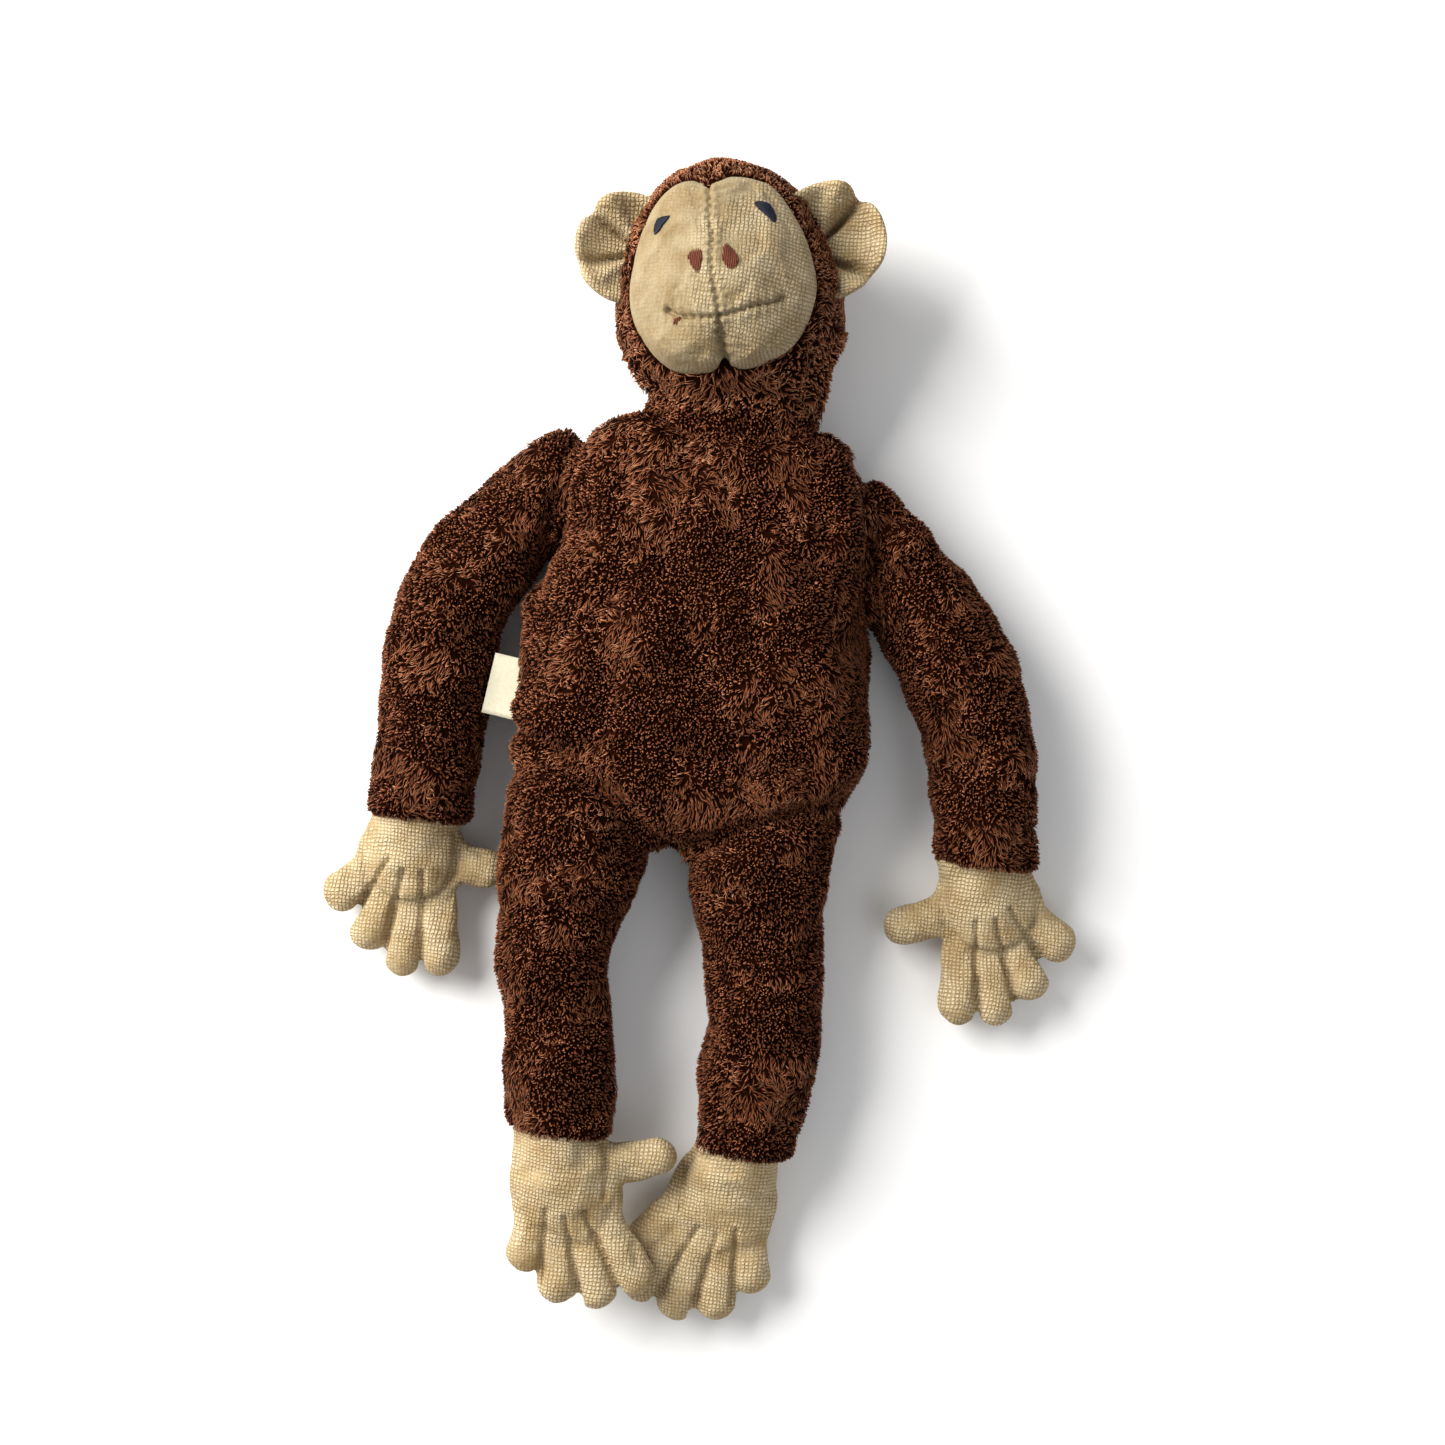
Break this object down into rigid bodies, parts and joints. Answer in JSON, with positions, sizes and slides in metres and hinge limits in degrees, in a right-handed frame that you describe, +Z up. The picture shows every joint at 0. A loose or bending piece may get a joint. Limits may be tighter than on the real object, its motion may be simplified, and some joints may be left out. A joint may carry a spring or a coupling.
{
  "type": "stuffed monkey",
  "caption": "Soft stuffed monkey lying on its back: brown pile body and limbs, pale velour face, ears, hands and feet, stitched eyes and nostrils.",
  "frame": {"origin": "middle of the toy's footprint on the surface it lies on, base of the bounding box", "axes": "+Z up from that surface, +Y along the torso towards the head, +X towards the toy's own left hand"},
  "size_m": [0.263, 0.4152, 0.0826],
  "materials": {
    "brown_pile": "dense short curly pile, matt",
    "beige_velour": "worn velour with a visible woven grid, matt",
    "stuffing": "loose fibre filling",
    "eye_thread": "satin embroidery thread",
    "nose_thread": "satin embroidery thread",
    "label": "plain woven ribbon"
  },
  "bodies": {
    "torso": {"torso_front_panel": "brown_pile", "torso_back_panel": "brown_pile", "torso_stuffing": "stuffing", "side_label": "label"},
    "neck": {"neck": "brown_pile"},
    "head": {"hood_r": "brown_pile", "hood_l": "brown_pile", "face_panel_r": "beige_velour", "face_panel_l": "beige_velour", "head_stuffing": "stuffing", "eye_r": "eye_thread", "eye_l": "eye_thread", "nostril_r": "nose_thread", "nostril_l": "nose_thread", "mouth_stitch": "nose_thread"},
    "ear_r": {"ear_front_r": "beige_velour", "ear_back_r": "beige_velour"},
    "ear_l": {"ear_front_l": "beige_velour", "ear_back_l": "beige_velour"},
    "shoulder_r": {"shoulder_cap_r": "brown_pile"},
    "upper_arm_r": {"upper_arm_r_cover": "brown_pile", "upper_arm_r_stuffing": "stuffing"},
    "forearm_r": {"forearm_r_cover": "brown_pile", "forearm_r_stuffing": "stuffing"},
    "hand_r": {"palm_r": "beige_velour", "hand_back_r": "beige_velour", "hand_stuffing_r": "stuffing"},
    "shoulder_l": {"shoulder_cap_l": "brown_pile"},
    "upper_arm_l": {"upper_arm_l_cover": "brown_pile", "upper_arm_l_stuffing": "stuffing"},
    "forearm_l": {"forearm_l_cover": "brown_pile", "forearm_l_stuffing": "stuffing"},
    "hand_l": {"palm_l": "beige_velour", "hand_back_l": "beige_velour", "hand_stuffing_l": "stuffing"},
    "thigh_r": {"thigh_r_cover": "brown_pile", "thigh_r_stuffing": "stuffing"},
    "shin_r": {"shin_r_cover": "brown_pile", "shin_r_stuffing": "stuffing"},
    "foot_r": {"sole_r": "beige_velour", "foot_top_r": "beige_velour", "foot_stuffing_r": "stuffing"},
    "thigh_l": {"thigh_l_cover": "brown_pile", "thigh_l_stuffing": "stuffing"},
    "shin_l": {"shin_l_cover": "brown_pile", "shin_l_stuffing": "stuffing"},
    "foot_l": {"sole_l": "beige_velour", "foot_top_l": "beige_velour", "foot_stuffing_l": "stuffing"}
  },
  "joints": [
    {"name": "neck_turn", "type": "hinge", "parent": "torso", "child": "neck", "pos_m": [-0.0085, 0.1136, 0.029], "axis": [0, 1, 0], "range_deg": [-20, 20]},
    {"name": "head_nod", "type": "hinge", "parent": "neck", "child": "head", "pos_m": [-0.0085, 0.1136, 0.029], "axis": [1, 0, 0], "range_deg": [0, 20]},
    {"name": "ear_r_fold", "type": "hinge", "parent": "head", "child": "ear_r", "pos_m": [-0.05389, 0.17022, 0.04], "axis": [0.0216, 0.9998, 0], "range_deg": [-30, 30]},
    {"name": "ear_l_fold", "type": "hinge", "parent": "head", "child": "ear_l", "pos_m": [0.01849, 0.18561, 0.04], "axis": [-0.4264, 0.9045, 0], "range_deg": [-30, 30]},
    {"name": "shoulder_r_spread", "type": "hinge", "parent": "torso", "child": "shoulder_r", "pos_m": [-0.076, 0.081, 0.027], "axis": [0, 0, -1], "range_deg": [0, 90]},
    {"name": "shoulder_r_raise", "type": "hinge", "parent": "shoulder_r", "child": "upper_arm_r", "pos_m": [-0.076, 0.081, 0.027], "axis": [-0.8638, 0.5039, 0], "range_deg": [0, 80]},
    {"name": "elbow_r_bend", "type": "hinge", "parent": "upper_arm_r", "child": "forearm_r", "pos_m": [-0.104, 0.033, 0.02], "axis": [1, 0, 0], "range_deg": [-80, 0]},
    {"name": "wrist_r_curl", "type": "hinge", "parent": "forearm_r", "child": "hand_r", "pos_m": [-0.104, -0.046, 0.0182], "axis": [1, 0, 0], "range_deg": [-45, 0]},
    {"name": "shoulder_l_spread", "type": "hinge", "parent": "torso", "child": "shoulder_l", "pos_m": [0.0565, 0.076, 0.027], "axis": [0, 0, 1], "range_deg": [0, 90]},
    {"name": "shoulder_l_raise", "type": "hinge", "parent": "shoulder_l", "child": "upper_arm_l", "pos_m": [0.0565, 0.076, 0.027], "axis": [-0.849, -0.5284, 0], "range_deg": [0, 80]},
    {"name": "elbow_l_bend", "type": "hinge", "parent": "upper_arm_l", "child": "forearm_l", "pos_m": [0.087, 0.027, 0.02], "axis": [0.9809, 0.1947, 0], "range_deg": [-80, 0]},
    {"name": "wrist_l_curl", "type": "hinge", "parent": "forearm_l", "child": "hand_l", "pos_m": [0.1005, -0.041, 0.0182], "axis": [0.9809, 0.1947, 0], "range_deg": [-45, 0]},
    {"name": "hip_r_lift", "type": "hinge", "parent": "torso", "child": "thigh_r", "pos_m": [-0.0425, -0.027, 0.025], "axis": [-1, 0, 0], "range_deg": [0, 90]},
    {"name": "knee_r_bend", "type": "hinge", "parent": "thigh_r", "child": "shin_r", "pos_m": [-0.0475, -0.091, 0.025], "axis": [1, 0, 0], "range_deg": [-50, 0]},
    {"name": "ankle_r_turn", "type": "hinge", "parent": "shin_r", "child": "foot_r", "pos_m": [-0.039, -0.152, 0.024], "axis": [0, 0, -1], "range_deg": [0, 30]},
    {"name": "hip_l_lift", "type": "hinge", "parent": "torso", "child": "thigh_l", "pos_m": [0.0225, -0.027, 0.025], "axis": [-1, 0, 0], "range_deg": [0, 90]},
    {"name": "knee_l_bend", "type": "hinge", "parent": "thigh_l", "child": "shin_l", "pos_m": [0.027, -0.091, 0.021], "axis": [1, 0, 0], "range_deg": [-50, 0]},
    {"name": "ankle_l_turn", "type": "hinge", "parent": "shin_l", "child": "foot_l", "pos_m": [0.0268, -0.154, 0.019], "axis": [0, 0, 1], "range_deg": [0, 30]}
  ]
}
